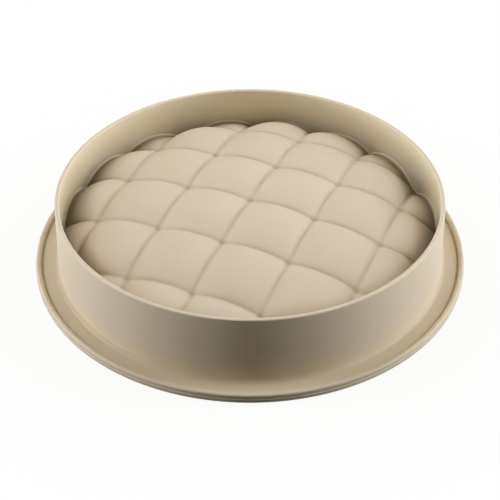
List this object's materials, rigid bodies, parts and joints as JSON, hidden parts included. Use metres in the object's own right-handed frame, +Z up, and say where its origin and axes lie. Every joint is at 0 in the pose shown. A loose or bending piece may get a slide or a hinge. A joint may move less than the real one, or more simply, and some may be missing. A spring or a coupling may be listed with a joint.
{
  "type": "silicone cake mould",
  "caption": "Round silicone cake mould: a domed crown quilted in square pillows, sunk inside a plain foot ring, on a flat flange with a stiffened rim bead. Stands opening down.",
  "frame": {"origin": "centre of the flange's underside, which the mould stands on in the picture", "axes": "+Z up along the mould's axis, from the opening to the foot ring; X and Y run along the seams of the quilting"},
  "size_m": [0.2492, 0.2492, 0.0434],
  "materials": {
    "moulded_silicone": "satin, as pressed from a fine blasted tool",
    "hoop_steel": "drawn stainless wire"
  },
  "bodies": {
    "root": {"silicone_mould": "moulded_silicone", "rim_hoop": "hoop_steel"}
  },
  "joints": []
}
